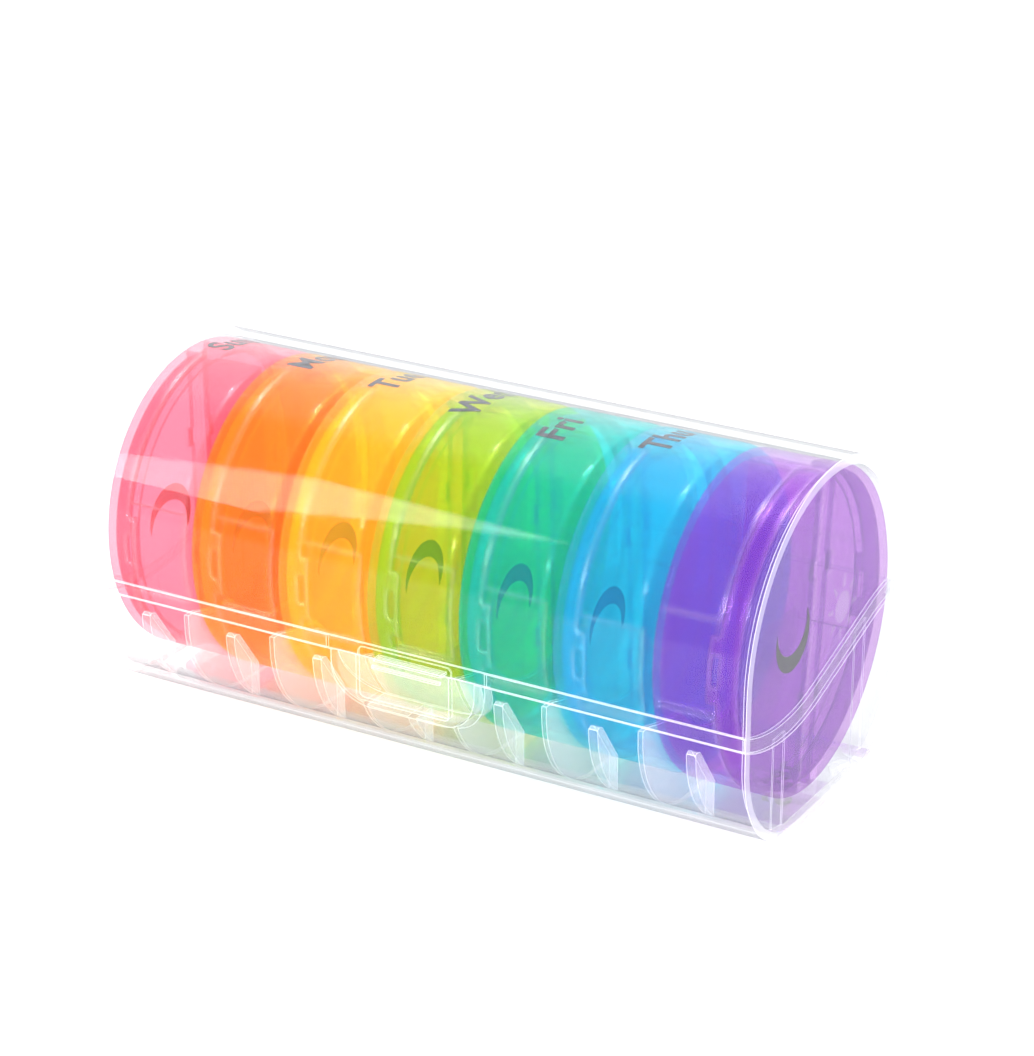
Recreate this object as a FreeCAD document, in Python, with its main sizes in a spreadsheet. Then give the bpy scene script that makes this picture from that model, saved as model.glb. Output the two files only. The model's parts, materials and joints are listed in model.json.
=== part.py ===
"""Travel pill organizer: a clear hinged case with seven round two-compartment pods.

X runs along the case, -Y is the front with the latch, +Z is up.  The origin is the middle of
the flat underside.  Every size is in millimetres.
"""
import FreeCAD
import Part
import math
import os
import Sketcher

# The driving dimensions: alias, value, what it is.
DIMENSIONS = [
    ("case_length", 156.6, "whole length of the case"),
    ("half_width", 37.0, "half the width, and the radius of the round top"),
    ("axis_height", 38.1, "height of the pods' common axis"),
    ("corner_radius", 23.3, "radius of the two long lower corners"),
    ("wall", 2.0, "barrel and floor thickness"),
    ("end_wall", 1.6, "thickness of the flat ends"),
    ("bay_count", 7, "number of bays"),
    ("valley_y", -18.0, "where the parting line is lowest"),
    ("valley_z", 23.2, "height of the parting line there"),
    ("parting_radius", 44.0, "radius of both bends of the parting line"),
    ("parting_slope", 17.8, "rise of its straight middle, in degrees"),
    ("parting_back", 35.9, "height of the parting line at the back"),
    ("parting_reach", 45.0, "half width of the shape that is cut along the parting line"),
    ("overrun", 1.0, "how far a cutting shape runs past the solid it cuts"),
    ("lid_gap", 0.12, "clearance between lid and base at the parting line"),
    ("lip_height", 2.9, "rise of the inner lip above the parting line"),
    ("lip_inset", 1.05, "lip's outer side, in from the outer wall"),
    ("lip_gap", 0.15, "clearance around the lip"),
    ("lip_stop", 30.0, "how far back the lip runs"),
    ("lip_end_gap", 0.8, "room behind the lip's ends, where they swing"),
    ("latch_gap", 38.0, "length of front wall without a lip, around the latch"),
    ("scoop_width", 34.4, "thumb scoop, wide"),
    ("scoop_bottom", 15.6, "thumb scoop's floor"),
    ("scoop_radius", 9.0, "thumb scoop's lower corners"),
    ("scoop_top", 40.0, "top of the shape that cuts the scoop"),
    ("scoop_reach", 13.0, "how far in the shape that cuts the scoop goes"),
    ("scoop_wall", 1.3, "thickness of the scoop's own walls"),
    ("liner_radius", 35.0, "inner side of the scoop's back wall"),
    ("tongue_width", 22.4, "latch tongue, wide"),
    ("tongue_top", 29.2, "latch tongue's top on the lid"),
    ("tongue_bottom", 17.6, "latch tongue's lower edge"),
    ("tongue_outer", 36.9, "latch tongue's outer side, from the middle"),
    ("tongue_depth", 1.3, "latch tongue, thick"),
    ("tongue_corner", 1.2, "latch tongue's rounded corners"),
    ("bead", 0.6, "height of the latch beads"),
    ("bead_margin", 3.0, "beads' ends, in from the tongue's sides"),
    ("bead_sink", 0.2, "how far the tongue's bead runs into the tongue"),
    ("bead_z", 24.9, "height of the tongue's bead"),
    ("catch_z", 26.3, "height of the catch on the base"),
    ("catch_gap", 0.6, "room between the tongue and the catch"),
    ("catch_depth", 2.2, "catch, from its edge into the scoop's back wall"),
    ("divider", 1.0, "thickness of the bay dividers"),
    ("divider_top", 25.5, "height of the dividers"),
    ("divider_opening", 24.0, "radius of the opening in the dividers"),
    ("fin", 2.0, "thickness of the cradle fins"),
    ("fin_tip", 23.6, "height of the fins"),
    ("fin_tip_inset", 0.8, "fins' tip, in from the case's inner side"),
    ("fin_tip_end", 2.0, "where the fins' slope starts, in from the case's inner side"),
    ("fin_tip_fall", 0.4, "fall from the fins' tip to their slope"),
    ("fin_tip_root", 1.0, "fall from the fins' tip to the case's wall"),
    ("fin_shoulder", 14.0, "height where the fins' slope ends"),
    ("fin_reach", 26.3, "fins' inner edge, from the middle"),
    ("rib_height", 0.4, "end wall ribs, high"),
    ("rib_width", 4.8, "end wall ribs, wide"),
    ("rib_y", 18.5, "end wall ribs, from the middle"),
    ("hinge_y", 39.3, "hinge axis behind the case"),
    ("hinge_z", 38.1, "hinge axis, high"),
    ("knuckle_radius", 2.1, "hinge knuckles"),
    ("stub_radius", 1.0, "lid's hinge stubs"),
    ("stub_clearance", 0.05, "play around the stubs"),
    ("stub_length", 2.6, "length of a stub"),
    ("knuckle_length", 8.0, "lid knuckles"),
    ("ear_length", 3.5, "base ears"),
    ("hinge_side_gap", 0.15, "gap between an ear and a knuckle"),
    ("hinge_station", 42.0, "hinges, from the middle"),
    ("gusset_drop", 6.0, "foot of the ears' gussets, below the parting line"),
    ("gusset_lip", 1.0, "upright part of the gussets' far edge"),
    ("knuckle_web_gap", 0.3, "lid knuckles' webs, above the parting line"),
    ("knuckle_web_rise", 7.0, "lid knuckles' webs, above the hinge axis"),
    ("pod_radius", 34.4, "outer radius of a pod"),
    ("pod_depth", 19.7, "thickness of a pod with its lids"),
    ("pod_front_gap", 0.9, "room in front of a pod's lids"),
    ("cup_wall", 1.8, "cup's rim thickness"),
    ("cup_back", 1.4, "cup's back thickness"),
    ("cup_edge", 1.6, "rounding of the cup's back edge"),
    ("skirt_depth", 5.4, "how far a half lid's skirt runs over the rim"),
    ("skirt", 1.2, "skirt thickness"),
    ("seam_gap", 0.1, "gap between skirt and cup"),
    ("neck_gap", 0.15, "gap between skirt and neck"),
    ("neck_wall", 1.2, "cup's neck thickness"),
    ("plate", 1.5, "half lid's thickness"),
    ("plate_edge", 0.6, "rounding of the half lid's outer edge"),
    ("web", 1.4, "wall between the two compartments"),
    ("web_inset", 0.3, "that wall's edge, in from the neck's seat"),
    ("bar_width", 5.4, "bar between the half lids"),
    ("bar_overlap", 0.4, "how far the bar runs over the cup's rim"),
    ("bar_sink", 0.2, "how far the bar's ends run into the neck"),
    ("flip_axis_y", 3.6, "half lid's hinge axis, from the middle"),
    ("flip_station", 14.0, "half lid's two hinge pins, from the middle"),
    ("flip_ear", 3.6, "length of an ear on the bar"),
    ("flip_root", 0.5, "how far an ear runs into the bar"),
    ("flip_notch", 4.2, "length of the half lid's notch around an ear"),
    ("notch_gap", 0.25, "room around an ear in its notch"),
    ("flip_pin", 0.35, "radius of the half lid's pins"),
    ("flip_pin_root", 0.4, "how far a pin runs into the half lid at each end"),
    ("flip_bore", 0.4, "radius of the ears' bores"),
    ("tab_length", 7.4, "latch tab's end, from the face"),
    ("tab_height", 14.0, "latch tab, along the rim"),
    ("tab_radius", 33.45, "latch tab's inner side"),
    ("slot_end", 6.6, "slot's inner end, from the face"),
    ("slot_width", 1.6, "slot in the tab, wide"),
    ("slot_height", 6.2, "slot in the tab, high"),
    ("recess_height", 19.8, "finger recess in the rim"),
    ("recess_radius", 33.35, "bottom of the finger recess"),
]

# Pods from the -X end: day, turn about the pod's axis in degrees, and whether its lids face +X.
PODS = [
    ("sun", 1.0, False),
    ("mon", -1.0, False),
    ("tue", 0.5, False),
    ("wed", -2.0, False),
    ("fri", 1.5, False),
    ("thu", 3.0, False),
    ("sat", -6.0, True),
]

X_AXIS = FreeCAD.Vector(1, 0, 0)
Y_AXIS = FreeCAD.Vector(0, 1, 0)
Z_AXIS = FreeCAD.Vector(0, 0, 1)
ALONG_X = FreeCAD.Rotation(Y_AXIS, 90)
# A sketch turned this way has its own X along Y and its own Y along Z.
CROSS_SECTION = FreeCAD.Rotation(FreeCAD.Vector(1, 1, 1), 120)
FAR = "60"

doc = FreeCAD.newDocument("travel_pill_organizer")
dims = doc.addObject("Spreadsheet::Sheet", "dims")
for row, (alias, value, meaning) in enumerate(DIMENSIONS, start=1):
    dims.set("A%d" % row, meaning)
    dims.set("B%d" % row, str(value))
    dims.setAlias("B%d" % row, alias)
doc.recompute()

PITCH = "((dims.case_length - 2 * dims.end_wall) / dims.bay_count)"
FIRST_BAY = "(dims.end_wall - dims.case_length / 2)"


def size(alias):
    """A driving dimension as a plain number."""
    return float(dims.get(alias))


def bind(item, expressions):
    for path, expression in expressions.items():
        item.setExpression(path, expression)


# ---- primitives and booleans, every size an expression of the sheet ----

def box(name, start, extent):
    """A box from its lowest corner and its extent, both as three expressions."""
    item = doc.addObject("Part::Box", name)
    bind(item, dict(zip(("Placement.Base.x", "Placement.Base.y", "Placement.Base.z"), start)))
    bind(item, dict(zip(("Length", "Width", "Height"), extent)))
    return item


def rod_x(name, radius, start, length, y="0", z="0"):
    """A cylinder along X."""
    item = doc.addObject("Part::Cylinder", name)
    item.Placement = FreeCAD.Placement(FreeCAD.Vector(), ALONG_X)
    bind(item, {"Radius": radius, "Height": length, "Placement.Base.x": start,
                "Placement.Base.y": y, "Placement.Base.z": z})
    return item


def rod_z(name, radius, middle_z, length, x, y):
    """A cylinder along Z, centred on middle_z."""
    item = doc.addObject("Part::Cylinder", name)
    bind(item, {"Radius": radius, "Height": length, "Placement.Base.x": x, "Placement.Base.y": y,
                "Placement.Base.z": "%s - (%s) / 2" % (middle_z, length)})
    return item


def cut(name, base, tool):
    item = doc.addObject("Part::Cut", name)
    item.Base = base
    item.Tool = tool
    return item


def fuse(name, shapes):
    item = doc.addObject("Part::MultiFuse", name)
    item.Shapes = shapes
    return item


def common(name, shapes):
    item = doc.addObject("Part::MultiCommon", name)
    item.Shapes = shapes
    return item


def round_end(name, rod, radius, at_far_end):
    """Rounds one end of a plain cylinder, whose edges are its seam, its near end and its far end."""
    item = doc.addObject("Part::Fillet", name)
    item.Base = rod
    amount = size(radius)
    item.Edges = [(3 if at_far_end else 2, amount, amount)]
    return item


def extrude(name, sketch, direction, length, centred=True):
    item = doc.addObject("Part::Extrusion", name)
    item.Base = sketch
    item.DirMode = "Custom"
    item.Dir = direction
    item.Solid = True
    item.Symmetric = centred
    item.setExpression("LengthFwd", length)
    return item


# ---- sketches ----

def new_sketch(name, turn):
    sketch = doc.addObject("Sketcher::SketchObject", name)
    sketch.Placement = FreeCAD.Placement(FreeCAD.Vector(), turn)
    return sketch


def line(sketch, start, end):
    return sketch.addGeometry(Part.LineSegment(FreeCAD.Vector(*start, 0), FreeCAD.Vector(*end, 0)))


def arc(sketch, centre, radius, start_degrees, end_degrees):
    circle = Part.Circle(FreeCAD.Vector(*centre, 0), Z_AXIS, radius)
    return sketch.addGeometry(Part.ArcOfCircle(circle, math.radians(start_degrees),
                                               math.radians(end_degrees)))


def dimension(sketch, kind, arguments, expression):
    """A dimensional constraint driven by the sheet."""
    index = sketch.addConstraint(Sketcher.Constraint(kind, *arguments))
    sketch.setExpression("Constraints[%d]" % index, expression)


def closed_polygon(sketch, points):
    """Straight sides whose corners are fixed by pairs of expressions, one (across, up) each."""
    rough = [(evaluate(across), evaluate(up)) for across, up in points]
    for start, end in zip(rough, rough[1:] + rough[:1]):
        line(sketch, start, end)
    for side in range(len(points)):
        following = (side + 1) % len(points)
        sketch.addConstraint(Sketcher.Constraint("Coincident", side, 2, following, 1))
        dimension(sketch, "DistanceX", (-1, 1, side, 1, rough[side][0]), points[side][0])
        dimension(sketch, "DistanceY", (-1, 1, side, 1, rough[side][1]), points[side][1])


def evaluate(expression):
    value = dims.evalExpression(expression)
    return float(getattr(value, "Value", value))


def case_section(name, inset):
    """The case's outline: flat underside, large lower corners, upright sides, half-round top."""
    sketch = new_sketch(name, CROSS_SECTION)
    depth = evaluate(inset)
    half = size("half_width") - depth
    corner = size("corner_radius") - depth
    top = size("axis_height")
    flat = half - corner
    middle = depth + corner
    floor = line(sketch, (-flat, depth), (flat, depth))
    front_right = arc(sketch, (flat, middle), corner, 270, 360)
    right = line(sketch, (half, middle), (half, top))
    crown = arc(sketch, (0, top), half, 0, 180)
    left = line(sketch, (-half, top), (-half, middle))
    front_left = arc(sketch, (-flat, middle), corner, 180, 270)
    for first, first_end, second, second_end in (
            (floor, 2, front_right, 1), (front_right, 2, right, 1), (right, 2, crown, 1),
            (crown, 2, left, 1), (left, 2, front_left, 1), (front_left, 2, floor, 1)):
        sketch.addConstraint(Sketcher.Constraint("Tangent", first, first_end, second, second_end))
    sketch.addConstraint(Sketcher.Constraint("Horizontal", floor))
    sketch.addConstraint(Sketcher.Constraint("Equal", front_right, front_left))
    sketch.addConstraint(Sketcher.Constraint("PointOnObject", crown, 3, -2))
    dimension(sketch, "Radius", (crown, half), "dims.half_width - (%s)" % inset)
    dimension(sketch, "Radius", (front_right, corner), "dims.corner_radius - (%s)" % inset)
    dimension(sketch, "DistanceY", (-1, 1, crown, 3, top), "dims.axis_height")
    if depth > 0:
        dimension(sketch, "DistanceY", (-1, 1, floor, 1, depth), inset)
    else:
        sketch.addConstraint(Sketcher.Constraint("PointOnObject", floor, 1, -1))
    return sketch


def under_parting(name, rise):
    """Everything below the parting line, which dips at the front and climbs to the hinge."""
    sketch = new_sketch(name + "_sketch", CROSS_SECTION)
    reach = size("parting_reach")
    bend = size("parting_radius")
    slope = FreeCAD.Rotation(Z_AXIS, size("parting_slope"))
    fall = slope.multVec(FreeCAD.Vector(0, -bend, 0))
    valley = FreeCAD.Vector(size("valley_y"), size("valley_z") + bend, 0)
    first = valley + fall
    along = slope.multVec(X_AXIS)
    crest_height = size("parting_back") - bend
    second_height = crest_height - fall.y
    second = first + along * ((second_height - first.y) / along.y)
    crest = second + fall
    front_angle = math.acos((reach + valley.x) / bend)
    front_height = valley.y - bend * math.sin(front_angle)
    slope_degrees = size("parting_slope")
    dip = arc(sketch, (valley.x, valley.y), bend, 180 + math.degrees(front_angle), 270 + slope_degrees)
    climb = line(sketch, (first.x, first.y), (second.x, second.y))
    level_off = arc(sketch, (crest.x, crest.y), bend, 90, 90 + slope_degrees)
    back_level = line(sketch, (crest.x, size("parting_back")), (reach, size("parting_back")))
    back = line(sketch, (reach, size("parting_back")), (reach, -reach))
    bottom = line(sketch, (reach, -reach), (-reach, -reach))
    front = line(sketch, (-reach, -reach), (-reach, front_height))
    sketch.addConstraint(Sketcher.Constraint("Tangent", dip, 2, climb, 1))
    sketch.addConstraint(Sketcher.Constraint("Tangent", climb, 2, level_off, 2))
    sketch.addConstraint(Sketcher.Constraint("Tangent", level_off, 1, back_level, 1))
    for one, other in ((back_level, back), (back, bottom), (bottom, front)):
        sketch.addConstraint(Sketcher.Constraint("Coincident", one, 2, other, 1))
    sketch.addConstraint(Sketcher.Constraint("Coincident", front, 2, dip, 1))
    for upright in (back, front):
        sketch.addConstraint(Sketcher.Constraint("Vertical", upright))
    for level in (back_level, bottom):
        sketch.addConstraint(Sketcher.Constraint("Horizontal", level))
    dimension(sketch, "Radius", (dip, bend), "dims.parting_radius")
    dimension(sketch, "Radius", (level_off, bend), "dims.parting_radius")
    dimension(sketch, "DistanceX", (-1, 1, dip, 3, valley.x), "dims.valley_y")
    dimension(sketch, "DistanceY", (-1, 1, dip, 3, valley.y), "dims.valley_z + dims.parting_radius")
    dimension(sketch, "DistanceX", (-1, 1, back, 1, reach), "dims.parting_reach")
    dimension(sketch, "DistanceY", (-1, 1, back, 1, size("parting_back")), "dims.parting_back")
    dimension(sketch, "DistanceX", (front, 1, -1, 1, reach), "dims.parting_reach")
    dimension(sketch, "DistanceY", (front, 1, -1, 1, reach), "dims.parting_reach")
    dimension(sketch, "Angle", (climb, FreeCAD.Units.Quantity("%f deg" % slope_degrees)),
              "dims.parting_slope * 1 deg")
    item = extrude(name, sketch, X_AXIS, "dims.case_length + 2 * dims.overrun")
    item.setExpression("Placement.Base.z", rise)
    return item


def section_block(name, inset, length):
    return extrude(name, case_section(name + "_sketch", inset), X_AXIS, length)


def plate_across(name, points, thickness, x):
    """A flat plate across the case from its (y, z) outline, centred on x."""
    sketch = new_sketch(name + "_sketch", CROSS_SECTION)
    closed_polygon(sketch, points)
    item = extrude(name, sketch, X_AXIS, thickness)
    item.setExpression("Placement.Base.x", x)
    return item


# ---- the case ----

def u_block(name, margin):
    """The thumb scoop's rounded U, widened by margin and extruded through the front wall."""
    half = "(dims.scoop_width / 2 + (%s))" % margin
    low = "(dims.scoop_bottom - (%s))" % margin
    corner = "(dims.scoop_radius + (%s))" % margin
    front = "(-dims.half_width - dims.overrun)"
    depth = "dims.scoop_reach"
    upper = box(name + "_upper", ("-" + half, front, low + " + " + corner),
                ("2 * " + half, depth, "dims.scoop_top - %s - %s" % (low, corner)))
    lower = box(name + "_lower", ("-%s + %s" % (half, corner), front, low),
                ("2 * (%s - %s)" % (half, corner), depth, corner + " + dims.overrun"))
    parts = [upper, lower]
    for side, sign in (("left", "-"), ("right", "")):
        corner_rod = doc.addObject("Part::Cylinder", "%s_%s" % (name, side))
        corner_rod.Placement = FreeCAD.Placement(FreeCAD.Vector(), FreeCAD.Rotation(X_AXIS, -90))
        bind(corner_rod, {"Radius": corner, "Height": depth, "Placement.Base.y": front,
                          "Placement.Base.x": "%s(%s - %s)" % (sign, half, corner),
                          "Placement.Base.z": low + " + " + corner})
        parts.append(corner_rod)
    return fuse(name, parts)


def bay_axis(name, radius):
    """A long cylinder on the pods' common axis."""
    return rod_x(name, radius, "-dims.case_length / 2", "dims.case_length", "0", "dims.axis_height")


def far_side(name, start):
    """Everything behind a plane across the case."""
    return box(name, ("-" + FAR + " * 2", start, "0"), (FAR + " * 4", FAR, FAR + " * 2"))


def make_shell_tools():
    tools = {
        "outer": section_block("case_outer", "0", "dims.case_length"),
        "cavity": section_block("case_cavity", "dims.wall", "dims.case_length - 2 * dims.end_wall"),
        "below": under_parting("below_parting", "0"),
        "below_lid": under_parting("below_lid", "dims.lid_gap"),
        "below_lip": under_parting("below_lip", "dims.lip_height"),
        "below_rebate": under_parting("below_rebate", "dims.lip_height + dims.lip_gap"),
        "behind_lip": far_side("behind_lip", "dims.lip_stop"),
        "behind_rebate": far_side("behind_rebate", "dims.lip_stop + dims.lip_end_gap"),
    }
    tools["shell"] = cut("case_shell", tools["outer"], tools["cavity"])
    return tools


def make_divider(tools, bay):
    """A U-shaped plate between two bays, open around the pods' axis."""
    x = "%s + %s * %d - dims.divider" % (FIRST_BAY, PITCH, bay)
    slab = box("divider_%d_slab" % bay, (x, "-" + FAR, "0"),
               ("dims.divider", "2 * " + FAR, "dims.divider_top"))
    plate = common("divider_%d_plate" % bay, [slab, tools["divider_section"]])
    return cut("divider_%d" % bay, plate, tools["divider_hole"])


def make_fin(bay, sign):
    """A cradle fin that follows the pod's rim from the wall down to the floor."""
    where = "front" if sign < 0 else "back"
    side = "-1" if sign < 0 else "1"
    points = [(side + " * (dims.half_width - dims.wall / 2)", "dims.fin_shoulder"),
              (side + " * (dims.half_width - dims.wall / 2)", "dims.fin_tip - dims.fin_tip_root"),
              (side + " * (dims.half_width - dims.wall - dims.fin_tip_inset)", "dims.fin_tip"),
              (side + " * (dims.half_width - dims.wall - dims.fin_tip_end)",
               "dims.fin_tip - dims.fin_tip_fall"),
              (side + " * dims.fin_reach", "dims.fin_shoulder"),
              (side + " * dims.fin_reach", "dims.wall / 2"),
              (side + " * (dims.half_width - dims.wall / 2)", "dims.wall / 2")]
    middle = "%s + %s * %d + dims.pod_front_gap + dims.pod_depth / 2" % (FIRST_BAY, PITCH, bay)
    return plate_across("fin_%d_%s" % (bay, where), points, "dims.fin", middle)


def make_end_rib(end, side):
    x = "dims.case_length / 2 - dims.end_wall - dims.rib_height" if end > 0 \
        else "dims.end_wall / 2 - dims.case_length / 2"
    name = "rib_%s_%s" % ("right" if end > 0 else "left", "back" if side > 0 else "front")
    return box(name, (x, "%d * dims.rib_y - dims.rib_width / 2" % side, "dims.wall / 2"),
               ("dims.end_wall / 2 + dims.rib_height", "dims.rib_width", FAR))


def make_ear(station, side):
    """One bored ear of the base, on a gusset that stands off the back wall."""
    sign = "-1" if station < 0 else "1"
    name = "ear_%s_%s" % ("left" if station < 0 else "right", "in" if side < 0 else "out")
    offset = "(dims.knuckle_length / 2 + dims.hinge_side_gap + dims.ear_length / 2)"
    middle = "%s * dims.hinge_station + %d * %s" % (sign, side, offset)
    start = "%s - dims.ear_length / 2" % middle
    barrel = rod_x(name + "_barrel", "dims.knuckle_radius", start, "dims.ear_length",
                   "dims.hinge_y", "dims.hinge_z")
    near = "dims.hinge_y - dims.knuckle_radius"
    far = "dims.hinge_y + dims.knuckle_radius"
    root = "dims.half_width - dims.wall / 2"
    gusset = plate_across(name + "_gusset", [
        (root, "dims.parting_back - dims.gusset_drop"),
        ("dims.half_width", "dims.parting_back - dims.gusset_drop"),
        (far, "dims.hinge_z - dims.gusset_lip"), (far, "dims.hinge_z"), (near, "dims.hinge_z"),
        (near, "dims.parting_back"), (root, "dims.parting_back")], "dims.ear_length", middle)
    bore = rod_x(name + "_bore", "dims.stub_radius + dims.stub_clearance", start + " - dims.overrun",
                 "dims.ear_length + 2 * dims.overrun", "dims.hinge_y", "dims.hinge_z")
    return cut(name, fuse(name + "_solid", [barrel, gusset]), bore)


def make_catch():
    """The short rib on the scoop's back wall that holds the latch tongue."""
    outer = "dims.tongue_outer - dims.tongue_depth - dims.catch_gap"
    return box("catch", ("dims.bead_margin - dims.tongue_width / 2", "-(%s)" % outer,
                         "dims.catch_z - dims.bead / 2"),
               ("dims.tongue_width - 2 * dims.bead_margin", "dims.catch_depth", "dims.bead"))


def make_case_base(tools):
    inside = [make_divider(tools, bay) for bay in range(1, int(size("bay_count")))]
    for bay in range(int(size("bay_count"))):
        inside += [make_fin(bay, -1), make_fin(bay, 1)]
    inside += [make_end_rib(end, side) for end in (-1, 1) for side in (-1, 1)]
    fittings = common("base_fittings", [fuse("base_fittings_all", inside), tools["outer"], tools["below"]])
    shell = common("base_shell", [tools["shell"], tools["below"]])
    lip_block = section_block("lip_block", "dims.lip_inset",
                              "dims.case_length - 2 * dims.end_wall / dims.wall * dims.lip_inset")
    lip_ring = common("lip_ring", [cut("lip_hollow", lip_block, tools["cavity"]), tools["below_lip"]])
    latch_gap = box("lip_latch_gap", ("-dims.latch_gap / 2", "-" + FAR, "dims.valley_z"),
                    ("dims.latch_gap", FAR, FAR))
    lip = cut("lip", lip_ring, fuse("lip_gaps", [latch_gap, tools["behind_lip"]]))
    scoop_walls = cut("scoop_walls", common("scoop_skin", [u_block("scoop_outside", "dims.scoop_wall"),
                      tools["outer"], tools["below"]]), bay_axis("scoop_liner", "dims.liner_radius"))
    solid = fuse("base_solid", [shell, lip, fittings, scoop_walls])
    hollow = cut("scoop_hollow", u_block("scoop_inside", "0"),
                 bay_axis("scoop_back", "dims.liner_radius + dims.scoop_wall"))
    scooped = cut("base_scooped", solid, hollow)
    catch = common("catch_clipped", [make_catch(), tools["outer"]])
    ears = [make_ear(station, side) for station in (-1, 1) for side in (-1, 1)]
    base = fuse("case_base", [scooped, catch] + ears)
    return base


def make_knuckle(station):
    """One lid knuckle with its web and the stubs that snap into the base's ears."""
    sign = "-1" if station < 0 else "1"
    name = "knuckle_%s" % ("left" if station < 0 else "right")
    middle = "%s * dims.hinge_station" % sign
    barrel = rod_x(name + "_barrel", "dims.knuckle_radius", middle + " - dims.knuckle_length / 2",
                   "dims.knuckle_length", "dims.hinge_y", "dims.hinge_z")
    half = "(dims.knuckle_length / 2 + dims.stub_length)"
    stubs = rod_x(name + "_stubs", "dims.stub_radius", "%s - %s" % (middle, half), "2 * " + half,
                  "dims.hinge_y", "dims.hinge_z")
    root = "dims.half_width - dims.wall / 2"
    web = plate_across(name + "_web", [
        (root, "dims.parting_back + dims.knuckle_web_gap"),
        ("dims.half_width", "dims.parting_back + dims.knuckle_web_gap"),
        ("dims.hinge_y", "dims.hinge_z - dims.knuckle_radius"),
        ("dims.hinge_y + dims.knuckle_radius", "dims.hinge_z"),
        ("dims.hinge_y + dims.knuckle_radius", "dims.hinge_z + dims.gusset_lip"),
        (root, "dims.hinge_z + dims.knuckle_web_rise")],
        "dims.knuckle_length", middle)
    return [barrel, stubs, web]


def make_tongue():
    """The latch tongue that hangs from the lid into the scoop, with its bead."""
    inner = "dims.tongue_outer - dims.tongue_depth"
    plain = box("tongue_plain", ("-dims.tongue_width / 2", "-dims.tongue_outer", "dims.tongue_bottom"),
                ("dims.tongue_width", "dims.tongue_depth", "dims.tongue_top - dims.tongue_bottom"))
    doc.recompute()
    corner = size("tongue_corner")
    blade = doc.addObject("Part::Fillet", "tongue_blade")
    blade.Base = plain
    blade.Edges = [(number, corner, corner) for number, edge in enumerate(plain.Shape.Edges, start=1)
                   if abs(edge.tangentAt(edge.FirstParameter).dot(Y_AXIS)) > 0.99]
    bead = box("tongue_bead", ("dims.bead_margin - dims.tongue_width / 2",
                               "-(%s) - dims.bead_sink" % inner, "dims.bead_z - dims.bead / 2"),
               ("dims.tongue_width - 2 * dims.bead_margin", "dims.bead + dims.bead_sink", "dims.bead"))
    return [blade, bead]


def make_case_lid(tools):
    above = cut("lid_above", tools["shell"], tools["below_lid"])
    rebate_block = section_block("rebate_block", "dims.lip_inset - dims.lip_gap",
                                 "dims.case_length - 2 * dims.end_wall / dims.wall"
                                 " * (dims.lip_inset - dims.lip_gap)")
    rebate_band = common("rebate_band", [rebate_block, tools["below_rebate"]])
    rebate = cut("rebate", rebate_band, tools["behind_rebate"])
    shell = cut("lid_shell", above, rebate)
    pieces = [shell] + make_tongue() + make_knuckle(-1) + make_knuckle(1)
    return fuse("case_lid", pieces)


# ---- one pod, in its own frame: x runs from the lids' face to the cup's back ----

NECK_RADIUS = "(dims.pod_radius - dims.skirt - dims.neck_gap)"
BARREL_START = "(dims.skirt_depth + dims.seam_gap)"
INNER_START = "(dims.plate + dims.neck_gap)"


def make_flip_ears(name):
    """The bored ears on both sides of the bar, two for each half lid."""
    ears = []
    bores = []
    for side in (-1, 1):
        for end in (-1, 1):
            tag = "%s_ear_%s_%s" % (name, "am" if side > 0 else "pm", "up" if end > 0 else "down")
            y = "%d * dims.flip_axis_y" % side
            z = "%d * dims.flip_station" % end
            ears.append(rod_z(tag, "dims.plate / 2", z, "dims.flip_ear", "dims.plate / 2", y))
            low = "dims.bar_width / 2 - dims.flip_root" if side > 0 else "-dims.flip_axis_y"
            ears.append(box(tag + "_link", ("0", low, z + " - dims.flip_ear / 2"),
                            ("dims.plate", "dims.flip_axis_y - dims.bar_width / 2 + dims.flip_root",
                             "dims.flip_ear")))
            bores.append(rod_z(tag + "_bore", "dims.flip_bore", z, "dims.flip_ear + dims.overrun",
                               "dims.plate / 2", y))
    return ears, bores


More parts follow.
